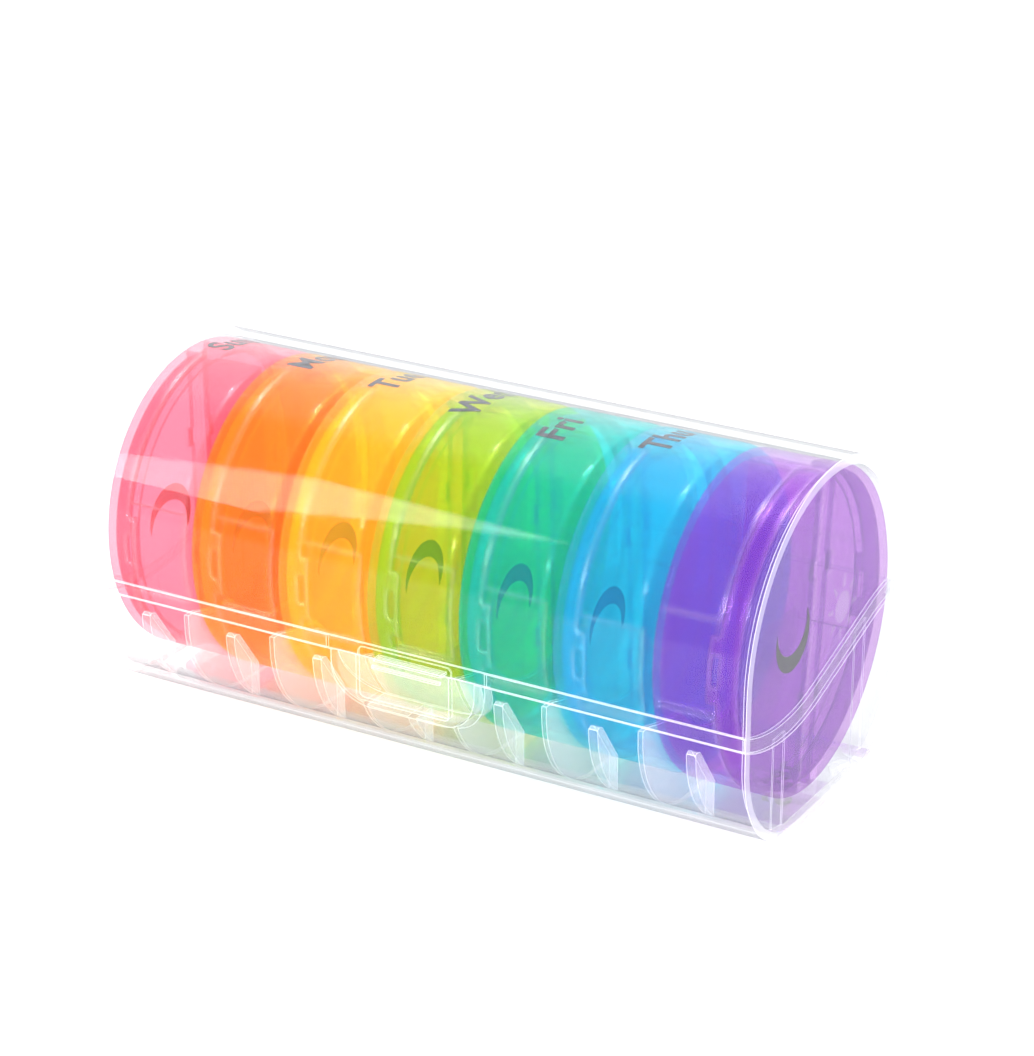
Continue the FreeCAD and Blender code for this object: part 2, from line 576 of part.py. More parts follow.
def make_cup(name):
    barrel = rod_x(name + "_barrel", "dims.pod_radius", BARREL_START, "dims.pod_depth - " + BARREL_START)
    rounded = round_end(name + "_rounded", barrel, "cup_edge", True)
    neck = rod_x(name + "_neck", NECK_RADIUS, INNER_START, "dims.skirt_depth")
    outside = fuse(name + "_outside", [rounded, neck])
    inner_start = BARREL_START + " + dims.neck_wall"
    bore = rod_x(name + "_bore", "dims.pod_radius - dims.cup_wall", inner_start,
                 "dims.pod_depth - dims.cup_back - (%s)" % inner_start)
    mouth = rod_x(name + "_mouth", NECK_RADIUS + " - dims.neck_wall", "0", "dims.pod_depth / 2")
    grip = box(name + "_grip", (BARREL_START, "-" + FAR, "-dims.recess_height / 2"),
               ("dims.pod_depth", "2 * " + FAR, "dims.recess_height"))
    grip_core = rod_x(name + "_grip_core", "dims.recess_radius", "0", "dims.pod_depth * 2")
    grips = cut(name + "_grips", grip, grip_core)
    shell = cut(name + "_shell", outside, fuse(name + "_hollows", [bore, mouth, grips]))
    reach = "(dims.pod_radius - dims.skirt - dims.web_inset)"
    web = box(name + "_web", (INNER_START, "-dims.web / 2", "-" + reach),
              ("dims.pod_depth - dims.cup_back / 2 - " + INNER_START, "dims.web", "2 * " + reach))
    bar_slab = box(name + "_bar_slab", ("0", "-dims.bar_width / 2", "-" + FAR),
                   (BARREL_START + " + dims.bar_overlap", "dims.bar_width", "2 * " + FAR))
    rim = rod_x(name + "_rim", "dims.pod_radius", "0", BARREL_START + " + dims.bar_overlap")
    rim_round = round_end(name + "_rim_round", rim, "plate_edge", False)
    bar_core = rod_x(name + "_bar_core", NECK_RADIUS + " - dims.bar_sink", "dims.plate", "dims.pod_depth")
    bar = cut(name + "_bar", common(name + "_bar_block", [bar_slab, rim_round]), bar_core)
    link = box(name + "_bar_link", ("dims.plate / 2", "-dims.web / 2", "-" + reach),
               ("dims.plate", "dims.web", "2 * " + reach))
    ears, bores = make_flip_ears(name)
    solid = fuse(name + "_solid", [shell, web, bar, link] + ears)
    return cut(name, solid, fuse(name + "_pin_bores", bores))


def make_half_lid(name, side):
    """A half-moon flip lid on one side of the bar: +1 is the day side, -1 the night side."""
    disc = rod_x(name + "_disc", "dims.pod_radius", "0", "dims.skirt_depth")
    rounded = round_end(name + "_rounded", disc, "plate_edge", False)
    inside = rod_x(name + "_inside", "dims.pod_radius - dims.skirt", "dims.plate", "dims.pod_depth")
    cap = cut(name + "_cap", rounded, inside)
    tab_rod = rod_x(name + "_tab_rod", "dims.pod_radius", "dims.skirt_depth / 2",
                    "dims.tab_length - dims.skirt_depth / 2")
    tab_core = rod_x(name + "_tab_core", "dims.tab_radius", "0", "dims.pod_depth")
    tab_ring = cut(name + "_tab_ring", tab_rod, tab_core)
    tab_box = box(name + "_tab_box", ("0", "-" + FAR, "-dims.tab_height / 2"),
                  ("dims.pod_depth", "2 * " + FAR, "dims.tab_height"))
    tab = common(name + "_tab", [tab_ring, tab_box])
    start = "dims.flip_axis_y" if side > 0 else "-" + FAR
    keep = box(name + "_keep", ("-dims.overrun", start, "-" + FAR),
               ("dims.pod_depth", FAR + " - (%s)" % ("dims.flip_axis_y" if side < 0 else "0"),
                "2 * " + FAR))
    half = common(name + "_half", [fuse(name + "_whole", [cap, tab]), keep])
    y = "%d * dims.flip_axis_y" % side
    edge = rod_z(name + "_edge", "dims.plate / 2", "0", "2 * (dims.pod_radius - dims.skirt)",
                 "dims.plate / 2", y)
    notch_reach = "dims.plate / 2 + dims.notch_gap"
    notches = []
    pins = []
    for end in (-1, 1):
        tag = "%s_%s" % (name, "up" if end > 0 else "down")
        z = "%d * dims.flip_station" % end
        notches.append(box(tag + "_notch", ("-dims.overrun", y + " - (%s)" % notch_reach,
                           z + " - dims.flip_notch / 2"),
                           ("dims.plate + 2 * dims.overrun", "2 * (%s)" % notch_reach,
                            "dims.flip_notch")))
        pins.append(rod_z(tag + "_pin", "dims.flip_pin", z, "dims.flip_notch + 2 * dims.flip_pin_root",
                          "dims.plate / 2", y))
    slot = box(name + "_slot", ("dims.slot_end - dims.slot_width", "-" + FAR, "-dims.slot_height / 2"),
               ("dims.slot_width", "2 * " + FAR, "dims.slot_height"))
    blank = cut(name + "_blank", fuse(name + "_edged", [half, edge]),
                fuse(name + "_openings", notches + [slot]))
    return fuse(name, [blank] + pins)


def pod_placement(bay, turn, turned_over):
    """Where a pod stands in the case, with its axis on the pods' common axis."""
    pitch = evaluate(PITCH)
    first = evaluate(FIRST_BAY)
    spin = FreeCAD.Rotation(X_AXIS, turn)
    if turned_over:
        face = first + pitch * (bay + 1) - size("pod_front_gap") - size("rib_height")
        return FreeCAD.Placement(FreeCAD.Vector(face, 0, size("axis_height")),
                                 spin.multiply(FreeCAD.Rotation(Y_AXIS, 180)))
    face = first + pitch * bay + size("pod_front_gap")
    return FreeCAD.Placement(FreeCAD.Vector(face, 0, size("axis_height")), spin)


# ---- build ----

shell_tools = make_shell_tools()
shell_tools["divider_section"] = section_block("divider_section", "dims.wall / 2", "dims.case_length")
shell_tools["divider_hole"] = bay_axis("divider_hole", "dims.divider_opening")
nodes = [make_case_base(shell_tools), make_case_lid(shell_tools)]
for bay, (day, turn, turned_over) in enumerate(PODS):
    place = pod_placement(bay, turn, turned_over)
    pod_nodes = [make_cup("pod_%s_cup" % day),
                 make_half_lid("pod_%s_am_lid" % day, 1),
                 make_half_lid("pod_%s_pm_lid" % day, -1)]
    for node in pod_nodes:
        node.Placement = place
    nodes += pod_nodes
doc.recompute()

# ---- check and write ----

for item in doc.Objects:
    if "Invalid" in item.State or "Error" in item.State:
        raise RuntimeError("%s did not compute: %s" % (item.Name, item.State))
os.makedirs("parts", exist_ok=True)
for node in nodes:
    node.Label = node.Name
    shape = node.Shape
    if shape.isNull() or not shape.isValid():
        raise RuntimeError("%s has no valid shape" % node.Label)
    print("%-16s solids %d volume %.0f" % (node.Label, len(shape.Solids), shape.Volume))
    shape.exportStep("parts/%s.step" % node.Label)
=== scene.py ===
from collections import namedtuple
import json
import math

import bmesh
import bpy
from mathutils import Matrix, Vector


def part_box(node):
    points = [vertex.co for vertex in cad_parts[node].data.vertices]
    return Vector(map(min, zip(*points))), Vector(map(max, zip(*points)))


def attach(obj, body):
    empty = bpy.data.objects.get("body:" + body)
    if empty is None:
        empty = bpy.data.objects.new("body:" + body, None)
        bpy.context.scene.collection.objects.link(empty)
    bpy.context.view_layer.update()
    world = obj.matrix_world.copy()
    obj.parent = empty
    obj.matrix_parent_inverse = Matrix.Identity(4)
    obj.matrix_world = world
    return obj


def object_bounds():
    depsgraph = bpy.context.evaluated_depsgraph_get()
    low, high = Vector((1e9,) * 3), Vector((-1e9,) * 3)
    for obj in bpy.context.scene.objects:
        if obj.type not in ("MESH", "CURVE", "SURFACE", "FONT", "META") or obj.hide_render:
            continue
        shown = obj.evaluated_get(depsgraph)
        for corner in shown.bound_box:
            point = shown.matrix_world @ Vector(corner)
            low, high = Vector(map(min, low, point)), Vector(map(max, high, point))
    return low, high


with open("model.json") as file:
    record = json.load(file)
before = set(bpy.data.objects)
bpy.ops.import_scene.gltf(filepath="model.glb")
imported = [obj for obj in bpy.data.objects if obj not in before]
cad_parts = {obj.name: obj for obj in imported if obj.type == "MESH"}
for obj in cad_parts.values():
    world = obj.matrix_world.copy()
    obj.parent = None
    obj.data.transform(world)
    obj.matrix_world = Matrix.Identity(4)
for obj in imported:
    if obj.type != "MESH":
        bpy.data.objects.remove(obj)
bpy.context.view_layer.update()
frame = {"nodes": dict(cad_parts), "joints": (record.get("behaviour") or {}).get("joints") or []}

MM = 0.001

# One row per pod, in the order of the bays. tint is what one wall of the plastic lets through and glow is
# its own colour where it scatters light, both as red, green and blue. word_start is where the day's name
# starts on the rim, in degrees before the middle of the bar.
Pod = namedtuple("Pod", "slot tint glow word_start")
PODS = {
    "sun": Pod("pink_plastic", tint=(1.00, 0.48, 0.60), glow=(1.00, 0.29, 0.35), word_start=0.5),
    "mon": Pod("orange_plastic", tint=(1.00, 0.84, 0.05), glow=(1.00, 0.30, 0.00), word_start=3.5),
    "tue": Pod("amber_plastic", tint=(1.00, 0.95, 0.05), glow=(1.00, 0.49, 0.00), word_start=5.5),
    "wed": Pod("lime_plastic", tint=(0.78, 0.94, 0.04), glow=(0.36, 0.56, 0.00), word_start=13.5),
    "fri": Pod("teal_plastic", tint=(0.02, 0.95, 0.94), glow=(0.00, 0.42, 0.42), word_start=12.8),
    "thu": Pod("blue_plastic", tint=(0.06, 0.90, 1.00), glow=(0.00, 0.39, 0.64), word_start=6.0),
    "sat": Pod("purple_plastic", tint=(0.80, 0.46, 0.90), glow=(0.29, 0.09, 0.48), word_start=2.0),
}

# The pods' plastic: how much of a wall scatters light, how its tint and its own colour vary from place
# to place, how wide its edges' soft gloss is and how strong, and how much of a face mirrors head on.
BODY_SHARE = 0.145
TINT_CHANGE = 0.04
GLOW_DIP = 0.92
POD_ROUNDING = 2.0 * MM
SOFT_GLOSS = (0.8, 0.8, 0.8)
SOFT_ROUGHNESS = 0.3
SOFT_SHARE = 0.15
POD_WAVES = 0.02 * MM
POD_MIRROR = 0.006

# The case's clear plastic, seen head on where it is thicker and thinner, and the painted shade that darkens
# it when seen along its surface.
CLEAR_THICK = (0.975, 0.980, 0.985)
CLEAR_THIN = (0.990, 0.995, 0.995)
GRAZING_PAINTED_SHADE = (0.50, 0.51, 0.54)
# The white that scatters: haze on faces and inner walls, and the painted highlight on edges and ends.
HAZE_AND_HIGHLIGHT = (0.95, 0.95, 0.96)
WHITE = (1.0, 1.0, 1.0)
# How much of it scatters white: haze on faces, a painted highlight on moulded edges and on the ends seen
# edge on, and haze on the inner walls.
FACE_HAZE = 0.004
EDGE_PAINTED_HIGHLIGHT = 0.8
END_PAINTED_HIGHLIGHT = 0.28
INNER_HAZE = 0.2
CASE_ROUNDING = 0.3 * MM
CASE_WAVES = 0.03 * MM
CASE_MIRROR = 0.009
# The underside mirrors this much more, and every polished surface this much at a grazing angle.
GROUND_MIRROR = 0.3
GRAZING_MIRROR = 0.35

# The case's outline: half its width, which is also the round top's radius, the height of that top's
# axis, the lower corners' radius, and the walls.
CASE_HALF = 37.0 * MM
CASE_AXIS = 38.1 * MM
CASE_CORNER = 23.3 * MM
CASE_WALL = 2.0 * MM
END_WALL = 1.6 * MM
# Inner walls start this far in from the ends, past the ribs there, and zones overlap surfaces by this.
END_RIBS = 0.6 * MM
MARGIN = 0.1 * MM

# Most of a noise texture's values lie between these two.
NOISE_LOW = 0.3
NOISE_HIGH = 0.7

# Ink lies this far off the plastic and is this thick. Parts of a word on two bodies end a gap apart.
PRINT_LIFT = 0.02 * MM
PRINT_THICKNESS = 0.03 * MM
PRINT_GAP = 0.03 * MM
# This much of the faint ink is clear.
FAINT_CLEAR = 0.92

# The words run round the pods' rims. LETTER_TOP is how far the letters' tops are from the lids' face.
POD_RADIUS = 34.4 * MM
LETTER_HEIGHT = 6.4 * MM
LETTER_TOP = 3.0 * MM
LETTER_STRIP = 0.6 * MM
# The font's size before it is scaled to the letters' height, how much its strokes are widened on each
# side at that size, and how far its letters stand apart.
FONT_SIZE = 10 * MM
FONT_BOLD = 0.28 * MM
FONT_SPACING = 1.06
# The half lids' skirts end here, and the bar between them ends here on both sides.
SKIRT_END = 5.45 * MM
BAR_EDGE = 2.78 * MM

# The symbols' centres lie this far to the side of the bar, and this far down along it from its middle.
SYMBOL_SIDE = 11.6 * MM
SYMBOL_DROP = 2.3 * MM
MOON_OUTER = 7.5 * MM
MOON_INNER = 6.7 * MM
MOON_OFFSET = 2.9 * MM
MOON_TILT = math.radians(-101)
SUN_DISC = 3.4 * MM
RAY_START = 4.4 * MM
RAY_END = 7.0 * MM
RAY_HALF_WIDTH = 0.6 * MM

# The studio: its light before and behind the object, half the blend between them, and the floor.
WORLD_FRONT = 0.65
WORLD_BACK = 2.0
WORLD_BLEND = 0.14
FLOOR_HALF = 6.0
FLOOR_GAP = 0.2 * MM
FLOOR_LIGHT = 0.66
STUDIO_MIDDLE = Vector((0, 0, 0.04))

# The camera: where it stands round the target, and the point it looks at.
CAMERA_AZIMUTH = math.radians(30.83)
CAMERA_ELEVATION = math.radians(23.36)
CAMERA_DISTANCE = 0.6947
CAMERA_TARGET = Vector((0, 0, 0.037))
CAMERA_AIM = Vector((0.00271, 0.00490, 0.04354))
CAMERA_LENS = 111.94
CAMERA_SENSOR = 36


# ---- helpers ----

def pod_frame(day):
    """The pod's own axes: x from the lids' face to the cup's back, y to the day side, z along the bar."""
    joints = {joint["name"]: joint for joint in frame["joints"]}
    middle = Vector(joints[f"pod_{day}_spin"]["pos_m"])
    flip = joints[f"pod_{day}_am_flip"]
    up = Vector(flip["axis"]).normalized()
    back = Vector((math.copysign(1, middle.x - flip["pos_m"][0]), 0, 0))
    low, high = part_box(f"pod_{day}_am_lid")
    axes = Matrix((back, up.cross(back), up)).transposed().to_4x4()
    axes.translation = (low.x if back.x > 0 else high.x, middle.y, middle.z)
    return axes


def add_object(name, data):
    thing = bpy.data.objects.new(name, data)
    bpy.context.scene.collection.objects.link(thing)
    return thing


def add_print(name, mesh, body, material):
    """A printed piece that rides on the body it is printed on."""
    mesh.materials.clear()
    mesh.materials.append(material)
    piece = add_object(name, mesh)
    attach(piece, body)


def paint(node_name, material):
    mesh = frame["nodes"][node_name].data
    mesh.materials.clear()
    mesh.materials.append(material)


def cut(shape, point, normal):
    """Cuts every face that the plane crosses, and keeps both sides."""
    everything = shape.verts[:] + shape.edges[:] + shape.faces[:]
    bmesh.ops.bisect_plane(shape, geom=everything, plane_co=point, plane_no=normal)


def slice_mesh(shape, step):
    """Cuts a flat shape into upright strips, so that it can bend."""
    reach = max(abs(vert.co.x) for vert in shape.verts)
    count = int(reach / step) + 1
    for index in range(-count, count + 1):
        cut(shape, (index * step, 0, 0), (1, 0, 0))


# ---- shader nodes ----

def new_material(name):
    material = bpy.data.materials.new(name)
    material.use_nodes = True
    return material, material.node_tree.nodes, material.node_tree.links


def bare_material(name):
    """A material without the shader that a new one starts with."""
    material, nodes, links = new_material(name)
    nodes.remove(nodes["Principled BSDF"])
    return material, nodes, links


def noise(nodes, links, scale, detail):
    texture = nodes.new("ShaderNodeTexNoise")
    texture.inputs["Scale"].default_value = scale
    texture.inputs["Detail"].default_value = detail
    place = nodes.new("ShaderNodeTexCoord").outputs["Object"]
    links.new(place, texture.inputs["Vector"])
    return texture.outputs["Fac"]


def ramp(nodes, links, factor, first, second, start=NOISE_LOW, end=NOISE_HIGH):
    """The first colour up to start, the second from end on, and a blend between."""
    node = nodes.new("ShaderNodeValToRGB")
    for element, place, colour in zip(node.color_ramp.elements, (start, end), (first, second)):
        element.position = place
        element.color = (*colour, 1)
    links.new(factor, node.inputs["Fac"])
    return node.outputs["Color"]


def spread(nodes, links, factor, low, high, start=NOISE_LOW, end=NOISE_HIGH):
    """Low up to start, high from end on, and a straight line between."""
    node = nodes.new("ShaderNodeMapRange")
    node.inputs["From Min"].default_value = start
    node.inputs["From Max"].default_value = end
    node.inputs["To Min"].default_value = low
    node.inputs["To Max"].default_value = high
    links.new(factor, node.inputs["Value"])
    return node.outputs["Result"]


def calc(nodes, links, operation, *values):
    node = nodes.new("ShaderNodeMath")
    node.operation = operation
    for socket, value in zip(node.inputs, values):
        if isinstance(value, (int, float)):
            socket.default_value = value
        else:
            links.new(value, socket)
    return node.outputs[0]


def hypotenuse(nodes, links, one, other):
    squares = [calc(nodes, links, "MULTIPLY", leg, leg) for leg in (one, other)]
    return calc(nodes, links, "SQRT", calc(nodes, links, "ADD", *squares))


def split_axes(nodes, links, vector):
    split = nodes.new("ShaderNodeSeparateXYZ")
    links.new(vector, split.inputs["Vector"])
    return split.outputs["X"], split.outputs["Y"], split.outputs["Z"]


def multiply(nodes, links, one, other):
    """The product of two colours."""
    node = nodes.new("ShaderNodeMix")
    node.data_type = "RGBA"
    node.blend_type = "MULTIPLY"
    node.inputs["Factor"].default_value = 1.0
    colours = [socket for socket in node.inputs if socket.type == "RGBA"]
    for colour, socket in zip((one, other), colours):
        links.new(colour, socket)
    return next(socket for socket in node.outputs if socket.type == "RGBA")


def ripple(nodes, links, height, depth):
    """Slight waves in the surface's direction."""
    bump = nodes.new("ShaderNodeBump")
    bump.inputs["Distance"].default_value = depth
    links.new(height, bump.inputs["Height"])
    return bump.outputs["Normal"]


def add_shader(nodes, links, kind, colour, roughness=None, normal=None):
    """A plain shader. Its colour and roughness are constant or linked."""
    shader = nodes.new(kind)
    if isinstance(colour, tuple):
        shader.inputs["Color"].default_value = (*colour, 1)
    else:
        links.new(colour, shader.inputs["Color"])
    if isinstance(roughness, float):
        shader.inputs["Roughness"].default_value = roughness
    elif roughness is not None:
        links.new(roughness, shader.inputs["Roughness"])
    if normal is not None:
        links.new(normal, shader.inputs["Normal"])
    return shader.outputs[0]


def mix(nodes, links, factor, first, second):
    node = nodes.new("ShaderNodeMixShader")
    if isinstance(factor, float):
        node.inputs["Fac"].default_value = factor
    else:
        links.new(factor, node.inputs["Fac"])
    links.new(first, node.inputs[1])
    links.new(second, node.inputs[2])
    return node.outputs[0]


def scatter(nodes, links, colour):
    """Light thrown back and light let through, in equal shares."""
    back = add_shader(nodes, links, "ShaderNodeBsdfDiffuse", colour)
    through = add_shader(nodes, links, "ShaderNodeBsdfTranslucent", colour)
    return mix(nodes, links, 0.5, back, through)


def grazing_share(nodes, links):
    """None head on, little at a slant, and all along the surface."""
    facing = nodes.new("ShaderNodeLayerWeight")
    facing.inputs["Blend"].default_value = 0.5
    return calc(nodes, links, "POWER", facing.outputs["Facing"], 4.0)


def mirror_share(nodes, links, head_on):
    """How much a polished surface mirrors: little head on, and about a third at a grazing angle."""
    return spread(nodes, links, grazing_share(nodes, links), head_on, GRAZING_MIRROR, start=0.0, end=1.0)


def rounded_normal(nodes, radius):
    """The surface's direction as if its edges were rounded this much more."""
    bevel = nodes.new("ShaderNodeBevel")
    bevel.samples = 6
    bevel.inputs["Radius"].default_value = radius
    return bevel.outputs["Normal"]


def edge_share(nodes, links, normal, low, high):
    """High on a moulded edge, where the rounded direction leaves the face's, and low beside it."""
    geometry = nodes.new("ShaderNodeNewGeometry")
    dot = nodes.new("ShaderNodeVectorMath")
    dot.operation = "DOT_PRODUCT"
    links.new(normal, dot.inputs[0])
    links.new(geometry.outputs["Normal"], dot.inputs[1])
    return spread(nodes, links, dot.outputs["Value"], low, high, start=0.995, end=0.85)


# ---- materials ----

def case_zones(nodes, links):
    """The case's ends seen edge on, its inner walls and fins, and its flat underside."""
    place = nodes.new("ShaderNodeTexCoord").outputs["Object"]
    x, y, z = split_axes(nodes, links, place)
    x = calc(nodes, links, "ABSOLUTE", x)
    y = calc(nodes, links, "ABSOLUTE", y)
    above = calc(nodes, links, "MAXIMUM", calc(nodes, links, "SUBTRACT", z, CASE_AXIS), 0.0)
    below = calc(nodes, links, "MAXIMUM", calc(nodes, links, "SUBTRACT", CASE_CORNER, z), 0.0)
    beside = calc(nodes, links, "SUBTRACT", y, CASE_HALF - CASE_CORNER)
    beside = calc(nodes, links, "MAXIMUM", beside, 0.0)
    under_crown = calc(nodes, links, "SUBTRACT", CASE_HALF, hypotenuse(nodes, links, y, above))
    in_corner = calc(nodes, links, "SUBTRACT", CASE_CORNER, hypotenuse(nodes, links, beside, below))
    depth = calc(nodes, links, "MINIMUM", under_crown, in_corner)
    half_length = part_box("case_lid")[1].x
    rim = calc(nodes, links, "LESS_THAN", depth, CASE_WALL)
    outermost = calc(nodes, links, "GREATER_THAN", x, half_length - MARGIN)
    inside = calc(nodes, links, "GREATER_THAN", depth, CASE_WALL + MARGIN)
    between_ends = calc(nodes, links, "LESS_THAN", x, half_length - END_WALL - END_RIBS)
    end = calc(nodes, links, "MULTIPLY", rim, outermost)
    inner = calc(nodes, links, "MULTIPLY", inside, between_ends)
    ground = calc(nodes, links, "LESS_THAN", z, CASE_WALL + 2 * MARGIN)
    return end, inner, ground


def tinted_plastic(name, tint, glow):
    """A pod's plastic: mostly seen through, with some scatter, soft gloss on its edges and a polish."""
    material, nodes, links = bare_material(name)
    flow = noise(nodes, links, scale=45, detail=3)
    waves = noise(nodes, links, scale=160, detail=2)
    # Light crosses a wall through two faces, so each face takes about the square root of its tint.
    darker = tuple(channel ** (0.5 + TINT_CHANGE) for channel in tint)
    lighter = tuple(channel ** (0.5 - TINT_CHANGE) for channel in tint)
    clear_colour = ramp(nodes, links, flow, darker, lighter)
    seen_through = add_shader(nodes, links, "ShaderNodeBsdfTransparent", clear_colour)
    duller = tuple(channel * GLOW_DIP for channel in glow)
    body = scatter(nodes, links, ramp(nodes, links, flow, duller, glow))
    wall = mix(nodes, links, BODY_SHARE, seen_through, body)
    rounded = rounded_normal(nodes, POD_ROUNDING)
    edge = edge_share(nodes, links, rounded, low=0.0, high=1.0)
    soft_gloss = add_shader(nodes, links, "ShaderNodeBsdfAnisotropic", SOFT_GLOSS, SOFT_ROUGHNESS, rounded)
    wall = mix(nodes, links, calc(nodes, links, "MULTIPLY", edge, SOFT_SHARE), wall, soft_gloss)
    rough = spread(nodes, links, waves, low=0.08, high=0.14)
    waviness = ripple(nodes, links, waves, POD_WAVES)
    polish = add_shader(nodes, links, "ShaderNodeBsdfAnisotropic", WHITE, rough, waviness)
    surface = mix(nodes, links, mirror_share(nodes, links, POD_MIRROR), wall, polish)
    links.new(surface, nodes["Material Output"].inputs["Surface"])
    return material


def clear_plastic(name):
    """The case's plastic: clear, with painted shade darker along its surface, painted highlights white on
    its edges and ends, and whitish haze on its inner walls and fins.
    """
    material, nodes, links = bare_material(name)
    flow = noise(nodes, links, scale=30, detail=3)
    waves = noise(nodes, links, scale=120, detail=2)
    head_on = ramp(nodes, links, flow, CLEAR_THICK, CLEAR_THIN)
    # Painted shade: the see-through colour turns grey where the surface is seen at a grazing angle.
    along = ramp(nodes, links, grazing_share(nodes, links), WHITE, GRAZING_PAINTED_SHADE, start=0.0, end=1.0)
    clear_colour = multiply(nodes, links, head_on, along)
    seen_through = add_shader(nodes, links, "ShaderNodeBsdfTransparent", clear_colour)
    # Painted highlight: white scatter rises on moulded edges and on the ends seen edge on; faces and inner
    # walls keep a haze.
    rounded = rounded_normal(nodes, CASE_ROUNDING)
    haze_and_highlight = edge_share(nodes, links, rounded, FACE_HAZE, EDGE_PAINTED_HIGHLIGHT)
    end, inner, ground = case_zones(nodes, links)
    for zone, share in ((end, END_PAINTED_HIGHLIGHT), (inner, INNER_HAZE)):
        haze_and_highlight = calc(nodes, links, "MAXIMUM", haze_and_highlight, calc(nodes, links, "MULTIPLY", zone, share))
    wall = mix(nodes, links, haze_and_highlight, seen_through, scatter(nodes, links, HAZE_AND_HIGHLIGHT))
    rough = spread(nodes, links, waves, low=0.02, high=0.05)
    waviness = ripple(nodes, links, waves, CASE_WAVES)
    polish = add_shader(nodes, links, "ShaderNodeBsdfAnisotropic", WHITE, rough, waviness)
    mirror = mirror_share(nodes, links, CASE_MIRROR)
    mirror = calc(nodes, links, "MULTIPLY_ADD", ground, GROUND_MIRROR, mirror)
    surface = mix(nodes, links, mirror, wall, polish)
    links.new(surface, nodes["Material Output"].inputs["Surface"])
    return material


def ink_grain(nodes, links, dark, light):
    """Fine grain, and the ink's colour that follows it."""
    grain = noise(nodes, links, scale=900, detail=4)
    return grain, ramp(nodes, links, grain, dark, light, start=0.35, end=0.65)


def ink(name, dark, light):
    material, nodes, links = new_material(name)
    shader = nodes["Principled BSDF"]
    grain, colour = ink_grain(nodes, links, dark, light)
    links.new(colour, shader.inputs["Base Color"])
    links.new(spread(nodes, links, grain, low=0.35, high=0.5), shader.inputs["Roughness"])
    links.new(ripple(nodes, links, grain, 0.005 * MM), shader.inputs["Normal"])
    return material


def faint_ink(name, dark, light):
    """Thin pale ink that lets most of the plastic show."""
    material, nodes, links = bare_material(name)
    body = add_shader(nodes, links, "ShaderNodeBsdfDiffuse", ink_grain(nodes, links, dark, light)[1])
    clear_part = add_shader(nodes, links, "ShaderNodeBsdfTransparent", WHITE)
    surface = mix(nodes, links, FAINT_CLEAR, body, clear_part)
    links.new(surface, nodes["Material Output"].inputs["Surface"])
    return material


# ---- prints ----

def flat_word(day):
    """The day's name as a flat bold mesh: x runs along the word and y up the letters."""
    outline = bpy.data.curves.new(f"word_{day}_outline", "FONT")
    outline.body = day.title()
    outline.size = FONT_SIZE
    outline.offset = FONT_BOLD
    outline.space_character = FONT_SPACING
    outline.resolution_u = 6
    writer = add_object(f"word_{day}_writer", outline)
    bpy.context.view_layer.update()
    mesh = bpy.data.meshes.new_from_object(writer.evaluated_get(bpy.context.evaluated_depsgraph_get()))
    bpy.data.objects.remove(writer)
    levels = [vert.co.y for vert in mesh.vertices]
    mesh.transform(Matrix.Scale(LETTER_HEIGHT / (max(levels) - min(levels)), 4))
    return mesh


def bend_word(shape, day, axes):
    """Lays the flat word round the pod's rim, its letters' tops towards the lids' face."""
    start = min(vert.co.x for vert in shape.verts)
    base = min(vert.co.y for vert in shape.verts)
    radius = POD_RADIUS + PRINT_LIFT
    for vert in shape.verts:
        angle = (vert.co.x - start) / POD_RADIUS - math.radians(PODS[day].word_start)
        along = LETTER_TOP + LETTER_HEIGHT - (vert.co.y - base)
        vert.co = axes @ Vector((along, radius * math.sin(angle), radius * math.cos(angle)))


def cut_at_joints(shape, axes):
    """Cuts the word where one body ends, and again a gap further, where the next one's ink starts."""
    for point in ((SKIRT_END, 0, 0), (SKIRT_END - PRINT_GAP, 0, 0),
                  (0, BAR_EDGE, 0), (0, BAR_EDGE + PRINT_GAP, 0),
                  (0, -BAR_EDGE, 0), (0, -BAR_EDGE - PRINT_GAP, 0)):
        cut(shape, axes @ Vector(point), axes.to_3x3() @ Vector(point).normalized())


def home_of(place):
    """What a spot in the pod's own axes lies on: the cup, the day lid's skirt, the night lid's, or a gap."""
    if place.x > SKIRT_END or abs(place.y) < BAR_EDGE:
        return "cup"
    if place.x > SKIRT_END - PRINT_GAP or abs(place.y) < BAR_EDGE + PRINT_GAP:
        return "gap"
    return "am_lid" if place.y > 0 else "pm_lid"


def part_of_word(shape, axes, home):
    """The word's faces that lie on one piece, as thick as ink."""
    part = shape.copy()
    others = [face for face in part.faces
              if home_of(axes.inverted() @ face.calc_center_median()) != home]
    bmesh.ops.delete(part, geom=others, context="FACES")
    extruded = bmesh.ops.extrude_face_region(part, geom=part.faces[:])
    for vert in extruded["geom"]:
        if isinstance(vert, bmesh.types.BMVert):
            outward = (vert.co - axes.translation) * Vector((0, 1, 1))
            vert.co += outward.normalized() * PRINT_THICKNESS
    bmesh.ops.recalc_face_normals(part, faces=part.faces[:])
    return part


def make_word(day, material):
    shape = bmesh.new()
    shape.from_mesh(flat_word(day))
    bmesh.ops.remove_doubles(shape, verts=shape.verts[:], dist=0.001 * MM)
    slice_mesh(shape, LETTER_STRIP)
    axes = pod_frame(day)
    bend_word(shape, day, axes)
    cut_at_joints(shape, axes)
    for home, ending, body in (("cup", "", f"pod_{day}"), ("am_lid", "_am", f"pod_{day}_am_lid"),
                               ("pm_lid", "_pm", f"pod_{day}_pm_lid")):
        part = part_of_word(shape, axes, home)
        name = f"pod_{day}_word{ending}"
        mesh = bpy.data.meshes.new(name)
        part.to_mesh(mesh)
        part.free()
        if mesh.polygons:
            add_print(name, mesh, body, material)
    shape.free()


def arc(centre, radius, start, end, steps):
    """Points round a circle on the first axis, from one angle to another, both ends included."""
    angles = [start + (end - start) * step / steps for step in range(steps + 1)]
    return [(centre + radius * math.cos(angle), radius * math.sin(angle)) for angle in angles]


